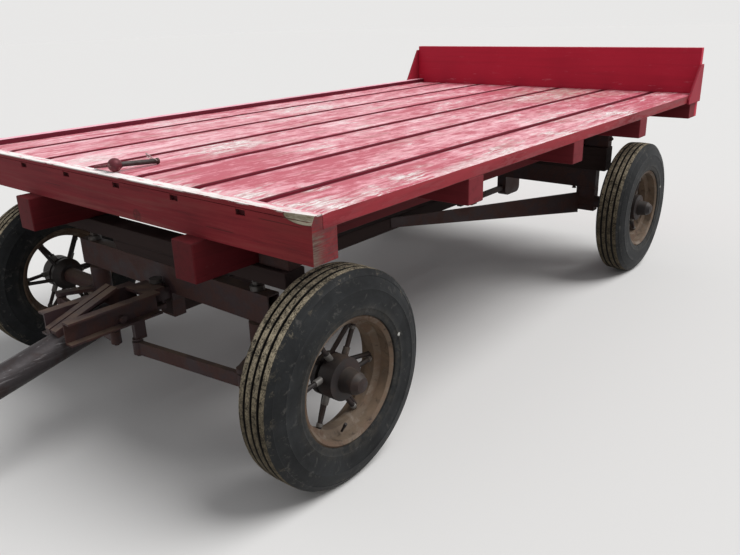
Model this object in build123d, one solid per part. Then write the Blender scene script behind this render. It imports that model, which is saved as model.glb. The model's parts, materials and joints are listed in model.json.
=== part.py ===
from build123d import *
import math
import os

os.makedirs("parts", exist_ok=True)

# Hay wagon: plank deck on two sills, four-wheel running gear, steering tongue.
# All lengths in mm. X points to the front of the wagon, Y to its left, Z up.
# Stations are first measured from the header's front face, then shifted by X0
# so that the origin lies under the middle of the whole wagon.

# deck
DECK_TOP = 964
DECK_LENGTH = 3254
HALF_WIDTH = 1000
PLANK_THICK = 44
PLANK_GAP = 9
PLANK_PITCH = 304
HEADER_THICK = 97
HEADER_LIP = 42
LIP_SEAM = 2
LIP_SEAM_DEEP = 4
CHIP_LONG = 95
CHIP_DEEP = 13
CHIP_TALL = 22
POCKET_STATIONS = (-878, -556, -237, 88, 409, 720)
POCKET_WIDE = 40
POCKET_TALL = 21
POCKET_DROP = 17
POCKET_DEEP = 12
BEARER_WIDE = 97
BEARER_TALL = 94
BEARER_STATIONS = (-812, -1640, -2410)
END_BEARER_INSET = 49
SILL_WIDE = 104
SILL_TALL = 131
SILL_Y = 501
SILL_NOSE = 57
RAIL_TALL = 22
RAIL_WIDE = 46
BOARD_TALL = 252
BOARD_THICK = 40
GUSSET_THICK = 12

# loose hitch pin that lies on the deck
PIN_GRIP_R = 9
PIN_KNOB_R = 24

# wheels
TYRE_R = 366
TYRE_HALF = 79
TREAD_HALF = 56
TRACK_HALF = 858
RIM_FLANGE_R = 216
RIM_HALF = 68
RIM_SEAT_R = 204
SEAT_HALF = 57
RIM_WELL_R = 176
WELL_INNER = -24
WELL_OUTER = 12
RIM_WALL = 5
HUB_R = 48
HUB_DISC_R = 72
HUB_DISC_THICK = 18
HUB_OUTER = -4
HUB_INNER = -39
DRUM_BACK = -17
DRUM_END = 40
CAP_R = 40
CAP_END = 114
SPOKE_PAIRS = 6
SPOKE_ROOT = 60
SPOKE_R = 8
SPINDLE_R = 24
SPINDLE_OUT = 88
STUB_R = 34
STUB_SHORT = 80

# running gear
FRONT_X = -217
REAR_X = -2764
AXLE_Z = TYRE_R
BEAM_HALF = 587
BEAM_DEEP = 54
BEAM_WALL = 6
SEAM_Z = 530
BEAM_HALF_TALL = 55
KING_Y = 510
KING_R = 16
BOLSTER_HALF = 700
BOLSTER_THICK = 90
BOLSTER_BOTTOM = 635
STAKE_INNER = 560
STAKE_TOP = 800
STAKE_HALF_DEEP = 27
REAR_SEAM_Z = 450
REAR_BEAM_TOP = 560
REAR_BEAM_HALF = 642
REAR_DROP_Z = 313
REAR_DROP_INNER = 530
REACH_HALF = 35
REACH_END_X = -2420
TAIL_HALF = 14
TAIL_LAP = 150
TAIL_X = -2962
SHOE_X = -2777
SHOE_HALF = 30
SHOE_TALL = 134
SHOE_ROUND = 38
FERRULE_WALL = 6
FERRULE_LONG = 60
FERRULE_SET = 10
HOUND_PLATE = 8
HOUND_ROOT_Y = 545
HOUND_ROOT_LOW = 294
HOUND_ROOT_TOP = 417
HOUND_TIP_X = -1560
HOUND_TIP_LOW = 398
HOUND_TIP_TOP = 450

# steering and tongue
SWIVEL_X = -155
SWIVEL_Z = 476
SWIVEL_R = 16
LUG_R = 34
LUG_TALL = 48
ARM_X = 155
ARM_Y = 75
TIE_TOP = 355
TIE_TALL = 50
TIE_THICK = 20
TIE_PIN_R = 10
HEAD_INNER = 60
HEAD_WIDE = 40
HEAD_TOP = 517
HEAD_TALL = 84
HEAD_WALL = 7
HEAD_FRONT = 256
HEAD_BACK = -105
LIFT_X = 45
LIFT_Z = 455
LIFT_R = 10
TUBE_R = 50
TUBE_WALL = 6
TONGUE_REACH = 2060
HITCH_NECK = 160
HITCH_PLUG = 40
STRAP_THICK = 11
STRAP_FRONT = 214
STRAP_FOOT = 60
STRAP_BACK = -45
STRAP_LOW = 67
STRAP_HIGH = 98
HITCH_R = 35
HITCH_THICK = 30
HITCH_PIN_R = 13

# clearances
RUN = 0.05
GROUND_GAP = 2
SWING_GAP = 5

# levels and stations that follow
PLANK_BOTTOM = DECK_TOP - PLANK_THICK
BEARER_BOTTOM = PLANK_BOTTOM - BEARER_TALL
SILL_BOTTOM = BEARER_BOTTOM - SILL_TALL
BEAM_TOP = SEAM_Z + BEAM_HALF_TALL
BEAM_BOTTOM = SEAM_Z - BEAM_HALF_TALL
REACH_TOP = REAR_SEAM_Z
REACH_BOTTOM = REACH_TOP - 2 * REACH_HALF
HEAD_BOTTOM = HEAD_TOP - HEAD_TALL
FRONT_FACE = FRONT_X + BEAM_DEEP / 2
FRONT_BACK = FRONT_X - BEAM_DEEP / 2
REAR_FACE = REAR_X + BEAM_DEEP / 2
REAR_BACK = REAR_X - BEAM_DEEP / 2
BOARD_X = -DECK_LENGTH
ARM_Z = TIE_TOP + 7
ARM_THICK = 16
TUBE_LENGTH = TONGUE_REACH - HITCH_NECK

TONGUE_DROP = LIFT_Z - HITCH_THICK / 2 - GROUND_GAP
TONGUE_SLOPE = math.degrees(math.asin(TONGUE_DROP / (TONGUE_REACH + HITCH_R)))
TONGUE_AHEAD = (TONGUE_REACH + HITCH_R) * math.cos(math.radians(TONGUE_SLOPE))
TONGUE_TIP_X = LIFT_X + TONGUE_AHEAD + HITCH_THICK / 2 * math.sin(math.radians(TONGUE_SLOPE))
REAR_END = DECK_LENGTH + BOARD_THICK
X0 = (REAR_END - TONGUE_TIP_X) / 2


def save(name, *solids):
    """Write the solids as one part, moved into the wagon's own frame."""
    shape = solids[0] if len(solids) == 1 else Compound(children=list(solids))
    export_step(Pos(X0, 0, 0) * shape, f"parts/{name}.step")


def block(x0, x1, y0, y1, z0, z1):
    """Box between two opposite corners, in any order."""
    middle = Pos((x0 + x1) / 2, (y0 + y1) / 2, (z0 + z1) / 2)
    return middle * Box(abs(x1 - x0), abs(y1 - y0), abs(z1 - z0))


def post(x, y, z0, z1, radius):
    """Upright cylinder between two levels."""
    return Pos(x, y, (z0 + z1) / 2) * Cylinder(radius, z1 - z0)


def prism(axis, points, a, b):
    """Polygon in the plane across one axis, drawn out from a to b along it."""
    planes = {
        "x": Plane(origin=(a, 0, 0), x_dir=(0, 1, 0), z_dir=(1, 0, 0)),
        "y": Plane(origin=(0, b, 0), x_dir=(1, 0, 0), z_dir=(0, -1, 0)),
        "z": Plane(origin=(0, 0, a), x_dir=(1, 0, 0), z_dir=(0, 0, 1)),
    }
    plane = planes[axis]
    return extrude(plane * Polygon(*points, align=None), amount=b - a, dir=plane.z_dir)


def rod(start, end, radius, bore=0):
    """Round bar, or tube when a bore is given."""
    line = Vector(*end) - Vector(*start)
    sketch = Circle(radius)
    if bore:
        sketch = sketch - Circle(bore)
    return extrude(Plane(origin=start, z_dir=line) * sketch, amount=line.length)


def ring(profile, at):
    """Turn a closed outline of (radius, y) points about a cross axle."""
    solid = revolve(Polygon(*profile, align=None), axis=Axis.Y, revolution_arc=360)
    return Pos(*at) * solid


def bar(start, end, wide, tall):
    """Straight bar of rectangular section whose wide side stays level."""
    line = Vector(*end) - Vector(*start)
    side = Vector(0, 0, 1).cross(line).normalized()
    plane = Plane(origin=start, x_dir=side, z_dir=line)
    return extrude(plane * Rectangle(wide, tall), amount=line.length)


# deck
edges = [-HALF_WIDTH] + [PLANK_PITCH * (k - 2.5) for k in range(6)] + [HALF_WIDTH]
planks = []
for right, left in zip(edges[:-1], edges[1:]):
    a = right + (PLANK_GAP / 2 if right > -HALF_WIDTH else 0)
    b = left - (PLANK_GAP / 2 if left < HALF_WIDTH else 0)
    planks.append(block(BOARD_X, -HEADER_LIP, a, b, PLANK_BOTTOM, DECK_TOP))
save("deck_planks", *planks)

header_outline = [
    (0, BEARER_BOTTOM),
    (0, DECK_TOP),
    (-HEADER_LIP, DECK_TOP),
    (-HEADER_LIP, PLANK_BOTTOM),
    (-HEADER_THICK, PLANK_BOTTOM),
    (-HEADER_THICK, BEARER_BOTTOM),
]
header = prism("y", header_outline, -HALF_WIDTH, HALF_WIDTH)
seam = DECK_TOP - POCKET_DROP
header -= block(-LIP_SEAM_DEEP, 1, -HALF_WIDTH - 1, HALF_WIDTH + 1, seam, seam + LIP_SEAM)
for y in POCKET_STATIONS:
    a = y - POCKET_WIDE / 2
    header -= block(-POCKET_DEEP, 1, a, a + POCKET_WIDE, seam - POCKET_TALL, seam)

# the left top corner is broken off along a slanting face through three points
chip_start = Vector(0, HALF_WIDTH - CHIP_LONG, DECK_TOP)
chip_top = Vector(-CHIP_DEEP, HALF_WIDTH, DECK_TOP)
chip_low = Vector(0, HALF_WIDTH, DECK_TOP - CHIP_TALL)
chip_face = (chip_low - chip_start).cross(chip_top - chip_start)
above = (Align.CENTER, Align.CENTER, Align.MIN)
broken = Plane(origin=chip_start, z_dir=chip_face) * Box(600, 600, 100, align=above)
save("front_header", header - broken)

bearers = []
for x in BEARER_STATIONS + (BOARD_X + END_BEARER_INSET,):
    a = x - BEARER_WIDE / 2
    bearers.append(block(a, a + BEARER_WIDE, -HALF_WIDTH, HALF_WIDTH, BEARER_BOTTOM, PLANK_BOTTOM))
save("cross_bearers", *bearers)

sills = []
for side in (-1, 1):
    a = side * SILL_Y - SILL_WIDE / 2
    sills.append(block(BOARD_X, SILL_NOSE, a, a + SILL_WIDE, SILL_BOTTOM, BEARER_BOTTOM))
save("sills", *sills)

rail = block(BOARD_X, 0, -HALF_WIDTH, -HALF_WIDTH + RAIL_WIDE, DECK_TOP, DECK_TOP + RAIL_TALL)
save("side_rail", rail)

board_top = DECK_TOP + BOARD_TALL
board = block(BOARD_X - BOARD_THICK, BOARD_X, -HALF_WIDTH, HALF_WIDTH, BEARER_BOTTOM, board_top)
save("headboard", board)

# columns: side, top of the gusset above the deck
gussets = []
for side, rise in ((1, 160), (-1, 225)):
    outline = [
        (BOARD_X + 165, PLANK_BOTTOM - 6),
        (BOARD_X + 165, PLANK_BOTTOM + 20),
        (BOARD_X + 12, DECK_TOP + rise),
        (BOARD_X - BOARD_THICK, DECK_TOP + rise),
        (BOARD_X - BOARD_THICK, PLANK_BOTTOM - 6),
    ]
    faces = sorted((side * HALF_WIDTH, side * (HALF_WIDTH + GUSSET_THICK)))
    gussets.append(prism("y", outline, *faces))
save("headboard_gussets", *gussets)

# loose hitch pin: grip, round knob and the flat handle that runs out of it
knob = (-49, 18, DECK_TOP + PIN_KNOB_R)
hitch_pin = rod(knob, (-222, 22, DECK_TOP + PIN_GRIP_R + 1), PIN_GRIP_R)
hitch_pin += Pos(*knob) * Sphere(PIN_KNOB_R)
hitch_pin += bar(knob, (-34, -83, DECK_TOP + 8), 14, 9)
save("hitch_pin", hitch_pin)

# front axle: two channels that meet in a seam, with a kingpin near each end
# columns: name, lower level, upper level, whether the channel opens downwards
FRONT_HALVES = (
    ("front_axle_upper", SEAM_Z, BEAM_TOP, True),
    ("front_axle_lower", BEAM_BOTTOM, SEAM_Z, False),
)
for name, z0, z1, opens_down in FRONT_HALVES:
    a = z0 - 1 if opens_down else z0 + BEAM_WALL
    b = z1 - BEAM_WALL if opens_down else z1 + 1
    beam = block(FRONT_BACK, FRONT_FACE, -BEAM_HALF, BEAM_HALF, z0, z1)
    beam -= block(FRONT_BACK + BEAM_WALL, FRONT_FACE - BEAM_WALL, -BEAM_HALF - 1, BEAM_HALF + 1, a, b)
    for side in (-1, 1):
        beam -= post(FRONT_X, side * KING_Y, z0 - 1, z1 + 1, KING_R)
    save(name, beam)

kingpins = []
for side in (-1, 1):
    shank = post(FRONT_X, side * KING_Y, AXLE_Z - 34, BEAM_TOP, KING_R)
    kingpins.append(shank + post(FRONT_X, side * KING_Y, BEAM_TOP, BEAM_TOP + 18, 26))
save("kingpins", *kingpins)

lug = block(FRONT_FACE, SWIVEL_X, -LUG_R, LUG_R, SWIVEL_Z - LUG_TALL / 2, SWIVEL_Z + LUG_TALL / 2)
lug += post(SWIVEL_X, 0, SWIVEL_Z - LUG_TALL / 2, SWIVEL_Z + LUG_TALL / 2, LUG_R)
lug -= post(SWIVEL_X, 0, HEAD_BOTTOM, HEAD_TOP, SWIVEL_R)
save("swivel_lug", lug)

swivel_pin = post(SWIVEL_X, 0, HEAD_BOTTOM - 12, HEAD_TOP + SWING_GAP, SWIVEL_R)
swivel_pin += post(SWIVEL_X, 0, HEAD_TOP + SWING_GAP, HEAD_TOP + SWING_GAP + 14, 24)
save("swivel_pin", swivel_pin)

rocker_outline = [(-330, BOLSTER_BOTTOM), (-300, BEAM_TOP), (300, BEAM_TOP), (330, BOLSTER_BOTTOM)]
save("front_rocker", prism("x", rocker_outline, FRONT_BACK, FRONT_FACE))
a = FRONT_X - BOLSTER_THICK / 2
front_bolster = block(a, a + BOLSTER_THICK, -BOLSTER_HALF, BOLSTER_HALF, BOLSTER_BOTTOM, SILL_BOTTOM)
save("front_bolster", front_bolster)

# rear axle
rear_beam = block(REAR_BACK, REAR_FACE, -REAR_BEAM_HALF, REAR_BEAM_HALF, REAR_SEAM_Z, REAR_BEAM_TOP)
save("rear_axle_beam", rear_beam)

ends = []
for side in (-1, 1):
    span = sorted((side * REAR_DROP_INNER, side * REAR_BEAM_HALF))
    drop = block(REAR_BACK, REAR_FACE, *span, REAR_DROP_Z, REAR_SEAM_Z)
    root = (REAR_X, side * REAR_DROP_INNER, AXLE_Z)
    drop += rod(root, (REAR_X, side * (TRACK_HALF - STUB_SHORT), AXLE_Z), STUB_R)
    drop += rod(root, (REAR_X, side * (TRACK_HALF + SPINDLE_OUT), AXLE_Z), SPINDLE_R)
    ends.append(drop)
save("rear_axle_ends", *ends)

a = REAR_X - BOLSTER_THICK / 2
rear_bolster = block(a, a + BOLSTER_THICK, -BOLSTER_HALF, BOLSTER_HALF, REAR_BEAM_TOP, SILL_BOTTOM)
save("rear_bolster", rear_bolster)

stakes = []
for x in (FRONT_X, REAR_X):
    for side in (-1, 1):
        span = sorted((side * STAKE_INNER, side * BOLSTER_HALF))
        stakes.append(block(x - STAKE_HALF_DEEP, x + STAKE_HALF_DEEP, *span, SILL_BOTTOM, STAKE_TOP))
save("bolster_stakes", *stakes)

# reach pole between the axles, with its fittings
reach = block(REACH_END_X, FRONT_FACE, -REACH_HALF, REACH_HALF, REACH_BOTTOM, REACH_TOP)
save("reach_pole", reach)

saddle = block(FRONT_BACK, FRONT_FACE, -REACH_HALF - 9, REACH_HALF + 9, REACH_BOTTOM - 7, BEAM_BOTTOM)
save("reach_bracket", saddle - reach)

# steel tail: square bar under the pole's end, held by a ferrule, and a shoe bolted below the beam
ferrule_half = REACH_HALF + FERRULE_WALL
ferrule_x = REACH_END_X + FERRULE_SET
tail_bottom = REACH_BOTTOM - 2 * TAIL_HALF
clamp = block(ferrule_x, ferrule_x + FERRULE_LONG, -ferrule_half, ferrule_half,
              tail_bottom - FERRULE_WALL, REACH_TOP + FERRULE_WALL)
clamp -= reach
clamp += block(TAIL_X, REACH_END_X + TAIL_LAP, -TAIL_HALF, TAIL_HALF, tail_bottom, REACH_BOTTOM)
shoe = block(TAIL_X, SHOE_X, -SHOE_HALF, SHOE_HALF, REACH_TOP - SHOE_TALL, REACH_TOP)
shoe = fillet(shoe.edges().filter_by(Axis.Y).group_by(Axis.Z)[0], SHOE_ROUND)
save("reach_clamp", clamp + shoe)

hounds = []
for side in (-1, 1):
    root = Vector(REAR_FACE, side * HOUND_ROOT_Y, 0)
    line = Vector(HOUND_TIP_X, side * REACH_HALF, 0) - root
    plane = Plane(origin=root, x_dir=line, z_dir=line.cross(Vector(0, 0, 1)))
    outline = [
        (0, HOUND_ROOT_LOW),
        (0, HOUND_ROOT_TOP),
        (line.length, HOUND_TIP_TOP),
        (line.length, HOUND_TIP_LOW),
    ]
    plate = extrude(plane * Polygon(*outline, align=None), amount=HOUND_PLATE / 2, both=True)
    hounds.append(plate - reach - ends[0] - ends[1])
save("rear_hounds", *hounds)


def mirrored(half):
    """Outline of (radius, y) points followed by its mirror image across the wheel's middle."""
    return half + [(r, -y) for r, y in reversed(half)]


def wheel(side, x):
    """Tyre, rim and spoked centre; side is +1 on the left, outwards along side * Y."""
    place = (x, side * TRACK_HALF, AXLE_Z)
    seat = RIM_SEAT_R
    well = RIM_WELL_R
    flange = RIM_FLANGE_R

    def turn(profile):
        return ring([(r, side * y) for r, y in profile], place)

    # half outlines: the casing from tread to bead, and its hollow from bead to crown
    casing = [
        (TYRE_R, TREAD_HALF - 12), (TYRE_R - 8, TREAD_HALF), (TYRE_R - 28, TYRE_HALF - 13),
        (TYRE_R - 64, TYRE_HALF - 1), (flange + 42, TYRE_HALF), (flange + 20, TYRE_HALF - 2),
        (flange + 1, RIM_HALF + 4), (flange, RIM_HALF - 3), (seat, SEAT_HALF),
    ]
    hollow = [
        (seat, SEAT_HALF - 11), (seat + 8, SEAT_HALF - 13), (flange + 20, TYRE_HALF - 17),
        (flange + 60, TYRE_HALF - 13), (TYRE_R - 48, TYRE_HALF - 21), (TYRE_R - 22, TYRE_HALF - 39),
    ]
    tyre = turn([(r, -y) for r, y in reversed(casing)] + casing + mirrored(hollow))

    # drop-centre rim: flange, seat and well, with its well nearer the wagon
    inside = seat - RIM_WALL
    rim = turn([
        (flange - 6, -RIM_HALF), (inside, -SEAT_HALF - 3), (inside, WELL_INNER - 10),
        (well, WELL_INNER), (well, WELL_OUTER), (inside, WELL_OUTER + 12), (inside, SEAT_HALF + 3),
        (flange - 6, RIM_HALF), (flange, RIM_HALF - 3), (seat, SEAT_HALF),
        (seat, WELL_OUTER + 8), (well + RIM_WALL, WELL_OUTER - 3), (well + RIM_WALL, WELL_INNER + 4),
        (seat, WELL_INNER - 7), (seat, -SEAT_HALF), (flange, 3 - RIM_HALF),
    ])

    # hub: disc for the inner spokes, drum for the outer ones, then a long cap over the spindle
    bore = SPINDLE_R + RUN
    disc = HUB_DISC_R
    back = HUB_INNER - HUB_DISC_THICK / 2
    centre = turn([
        (bore, -75), (HUB_R, -75), (disc, back), (disc, back + HUB_DISC_THICK),
        (HUB_R, back + HUB_DISC_THICK + 2), (HUB_R, DRUM_BACK - 2), (disc, DRUM_BACK),
        (disc, DRUM_END), (CAP_R + 3, DRUM_END + 4), (CAP_R - 3, CAP_END - 24), (CAP_R - 16, CAP_END - 4),
        (0, CAP_END), (0, SPINDLE_OUT + 3), (bore, SPINDLE_OUT + 3),
    ])
    for k in range(SPOKE_PAIRS):
        # columns: hub angle, rim angle, hub y, rim y
        for hub_turn, rim_turn, hub_y, rim_y in ((14, 2, HUB_OUTER, -2), (-14, -2, HUB_INNER, -10)):
            a = math.radians(360 / SPOKE_PAIRS * k + hub_turn)
            b = math.radians(360 / SPOKE_PAIRS * k + rim_turn)
            tip = well + RIM_WALL / 2
            root = Vector(SPOKE_ROOT * math.cos(a), side * hub_y, SPOKE_ROOT * math.sin(a))
            end = Vector(tip * math.cos(b), side * rim_y, tip * math.sin(b))
            centre += rod(Vector(*place) + root, Vector(*place) + end, SPOKE_R)
    return tyre, rim, centre - rim


# columns: corner, side, station
CORNERS = (
    ("front_left", 1, FRONT_X),
    ("front_right", -1, FRONT_X),
    ("rear_left", 1, REAR_X),
    ("rear_right", -1, REAR_X),
)
for corner, side, x in CORNERS:
    tyre, rim, centre = wheel(side, x)
    save(f"tyre_{corner}", tyre)
    save(f"rim_{corner}", rim)
    save(f"wheel_centre_{corner}", centre)

# steering knuckles: barrel on the kingpin, stub and spindle, arm with its tie-rod pin
SIDES = (("left", 1), ("right", -1))
for name, side in SIDES:
    y = side * KING_Y
    axle = (FRONT_X, y, AXLE_Z)
    pin = (FRONT_X + ARM_X, side * (KING_Y + ARM_Y))
    knuckle = post(FRONT_X, y, AXLE_Z - 30, BEAM_BOTTOM - SWING_GAP, 40)
    knuckle += rod(axle, (FRONT_X, side * (TRACK_HALF - STUB_SHORT), AXLE_Z), STUB_R)
    knuckle += rod(axle, (FRONT_X, side * (TRACK_HALF + SPINDLE_OUT), AXLE_Z), SPINDLE_R)
    arm = [(FRONT_X, y - 26), (FRONT_X, y + 26), (pin[0], pin[1] + 22), (pin[0], pin[1] - 22)]
    knuckle += prism("z", arm, ARM_Z, ARM_Z + ARM_THICK)
    knuckle += post(*pin, ARM_Z, ARM_Z + ARM_THICK, 22)
    knuckle += post(*pin, TIE_TOP - TIE_TALL - 8, ARM_Z, TIE_PIN_R)
    knuckle -= post(FRONT_X, y, AXLE_Z - 60, BEAM_BOTTOM, KING_R + RUN)
    save(f"knuckle_{name}", knuckle)

# tie rods: the outer eye has a little play, the inner one runs on its pin
for name, side in SIDES:
    inner = (SWIVEL_X + ARM_X, side * ARM_Y)
    outer = (FRONT_X + ARM_X, side * (KING_Y + ARM_Y))
    middle = TIE_TOP - TIE_TALL / 2
    tie = bar((*inner, middle), (*outer, middle), TIE_THICK, TIE_TALL)
    for eye in (inner, outer):
        tie += post(*eye, TIE_TOP - TIE_TALL, TIE_TOP, 20)
    tie -= post(*inner, TIE_TOP - TIE_TALL - 1, TIE_TOP + 1, TIE_PIN_R + RUN)
    tie -= post(*outer, TIE_TOP - TIE_TALL - 1, TIE_TOP + 1, TIE_PIN_R + 0.5)
    save(f"tie_rod_{name}", tie)

# steering head: two outward channels joined by plates above and below the swivel lug
head = None
for z0, z1 in ((HEAD_BOTTOM, HEAD_BOTTOM + 14), (HEAD_TOP - 12, HEAD_TOP)):
    plate = block(SWIVEL_X + 5, -60, -HEAD_INNER, HEAD_INNER, z0, z1)
    plate += post(SWIVEL_X, 0, z0, z1, 27)
    head = plate if head is None else head + plate
for side in (-1, 1):
    web = sorted((side * HEAD_INNER, side * (HEAD_INNER + HEAD_WALL)))
    shelf = sorted((side * HEAD_INNER, side * (HEAD_INNER + HEAD_WIDE)))
    head += block(HEAD_BACK, HEAD_FRONT, *web, HEAD_BOTTOM, HEAD_TOP)
    head += block(HEAD_BACK, HEAD_FRONT, *shelf, HEAD_TOP - HEAD_WALL, HEAD_TOP)
    head += block(HEAD_BACK, HEAD_FRONT, *shelf, HEAD_BOTTOM, HEAD_BOTTOM + HEAD_WALL)
    pin = (SWIVEL_X + ARM_X, side * ARM_Y)
    head += block(pin[0] - 35, pin[0] + 10, pin[1] - 10, pin[1] + 10, TIE_TOP + 6, HEAD_BOTTOM)
    head += post(*pin, TIE_TOP + 6, TIE_TOP + 12, 18)
    head += post(*pin, TIE_TOP - TIE_TALL - 8, TIE_TOP + 6, TIE_PIN_R)
head -= post(SWIVEL_X, 0, HEAD_BOTTOM - 1, HEAD_TOP + 1, SWIVEL_R + RUN)
web_outer = HEAD_INNER + HEAD_WALL
head -= rod((LIFT_X, -web_outer - 1, LIFT_Z), (LIFT_X, web_outer + 1, LIFT_Z), LIFT_R)
save("steering_head", head)

lift_half = web_outer + 14
lift_pin = rod((LIFT_X, -lift_half, LIFT_Z), (LIFT_X, lift_half, LIFT_Z), LIFT_R)
for side in (-1, 1):
    lift_pin += rod((LIFT_X, side * web_outer, LIFT_Z), (LIFT_X, side * lift_half, LIFT_Z), LIFT_R + 4.5)
save("tongue_pivot_pin", lift_pin)

# tongue, drawn level from its pivot and then lowered until the hitch lies near the ground
lowered = Pos(LIFT_X, 0, LIFT_Z) * Rot(0, TONGUE_SLOPE, 0)
tube = rod((0, 0, 0), (TUBE_LENGTH, 0, 0), TUBE_R, TUBE_R - TUBE_WALL)
tube += rod((0, -52, 0), (0, 52, 0), 30)
tube -= rod((0, -60, 0), (0, 60, 0), LIFT_R + RUN)
save("tongue_tube", lowered * tube)

# two flat bars stand on the tube and rise towards its pivot
foot = STRAP_FRONT - STRAP_FOOT
rise = (STRAP_HIGH - STRAP_LOW) / (STRAP_FRONT - STRAP_BACK)
strap_outline = [
    (STRAP_FRONT, 0),
    (STRAP_FRONT, STRAP_LOW),
    (STRAP_BACK, STRAP_HIGH),
    (STRAP_BACK, STRAP_HIGH - STRAP_THICK),
    (foot, STRAP_LOW + rise * STRAP_FOOT - STRAP_THICK),
    (foot, 0),
]
# columns: right edge, left edge
straps = []
for a, b in ((-44, -16), (-8, 28)):
    strap = prism("y", strap_outline, a, b)
    straps.append(lowered * (strap - rod((foot - 10, 0, 0), (STRAP_FRONT + 10, 0, 0), TUBE_R)))
save("tongue_straps", *straps)

hitch = rod((TUBE_LENGTH - HITCH_PLUG, 0, 0), (TUBE_LENGTH + 60, 0, 0), TUBE_R - TUBE_WALL)
hitch += block(TUBE_LENGTH + 50, TONGUE_REACH, -HITCH_R, HITCH_R, -HITCH_THICK / 2, HITCH_THICK / 2)
hitch += post(TONGUE_REACH, 0, -HITCH_THICK / 2, HITCH_THICK / 2, HITCH_R)
hitch -= post(TONGUE_REACH, 0, -HITCH_THICK, HITCH_THICK, HITCH_PIN_R)
save("tongue_hitch", lowered * hitch)
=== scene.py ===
import json
import math
import bpy
import bmesh
from mathutils import Matrix, Vector, noise


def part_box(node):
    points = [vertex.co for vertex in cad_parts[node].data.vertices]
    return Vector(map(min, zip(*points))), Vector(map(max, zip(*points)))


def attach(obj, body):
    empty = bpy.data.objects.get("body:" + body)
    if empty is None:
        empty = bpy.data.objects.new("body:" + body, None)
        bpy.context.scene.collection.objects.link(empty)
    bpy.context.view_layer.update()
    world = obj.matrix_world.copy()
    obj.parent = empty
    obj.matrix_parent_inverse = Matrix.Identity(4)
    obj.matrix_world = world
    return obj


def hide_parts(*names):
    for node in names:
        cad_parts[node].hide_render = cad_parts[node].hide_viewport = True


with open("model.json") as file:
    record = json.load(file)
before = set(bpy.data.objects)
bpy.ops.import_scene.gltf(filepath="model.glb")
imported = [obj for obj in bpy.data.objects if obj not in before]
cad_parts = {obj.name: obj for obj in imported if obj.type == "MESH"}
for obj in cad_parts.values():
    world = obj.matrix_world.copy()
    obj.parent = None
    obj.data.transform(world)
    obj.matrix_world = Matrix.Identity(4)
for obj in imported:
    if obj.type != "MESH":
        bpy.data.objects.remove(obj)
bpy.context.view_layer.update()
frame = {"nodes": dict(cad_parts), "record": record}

NODES = frame["nodes"]
FRONT_FACE_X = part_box("front_header")[1][0]
CORNERS = ("front_left", "front_right", "rear_left", "rear_right")

# measures of the wagon that the paints and the added pieces go by, in metres
DECK_TOP = 0.964
PLANK_UNDERSIDE = 0.921
PLANK_PITCH = 0.304
OUTER_SEAM_Y = 0.76
TYRE_R = 0.3655
CROWN = 0.9


def box(node):
    """Lowest and highest corner of a node."""
    lo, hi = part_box(node)
    return Vector(lo), Vector(hi)


def behind(distance):
    """X of a place this far behind the header's front face."""
    return FRONT_FACE_X - distance


def on_deck(back, left):
    """Point on the deck, by its distance behind the header's face and its place across."""
    return (behind(back), left, DECK_TOP)


# camera at the photograph's viewpoint, solved from the photo
PHOTO_WIDTH_PX = 740
FOCAL_PX = 713.257
SENSOR_MM = 36.0
AZIMUTH, ELEVATION, ROLL = 3.840, -0.354, -0.030
CAMERA_AHEAD, CAMERA_LEFT, CAMERA_HEIGHT = 1.2688, 2.2578, 1.4518

cam_data = bpy.data.cameras.new("camera")
cam_data.sensor_fit = "HORIZONTAL"
cam_data.sensor_width = SENSOR_MM
cam_data.lens = FOCAL_PX / PHOTO_WIDTH_PX * SENSOR_MM
cam = bpy.data.objects.new("camera", cam_data)
bpy.context.scene.collection.objects.link(cam)


def direction(azimuth, elevation):
    """Unit vector from its angle about Z and its angle above the ground."""
    level = math.cos(elevation)
    return Vector((level * math.cos(azimuth), level * math.sin(azimuth), math.sin(elevation)))


look = direction(AZIMUTH, ELEVATION)
side = look.cross(Vector((0, 0, 1))).normalized()
up = side.cross(look)
right_axis = side * math.cos(ROLL) + up * math.sin(ROLL)
up_axis = up * math.cos(ROLL) - side * math.sin(ROLL)
turn = Matrix((right_axis, up_axis, -look)).transposed()
stand = Matrix.Translation((CAMERA_AHEAD + FRONT_FACE_X, CAMERA_LEFT, CAMERA_HEIGHT))
cam.matrix_world = stand @ turn.to_4x4()
bpy.context.scene.camera = cam

scene = bpy.context.scene
scene.view_settings.view_transform = "Standard"


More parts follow.
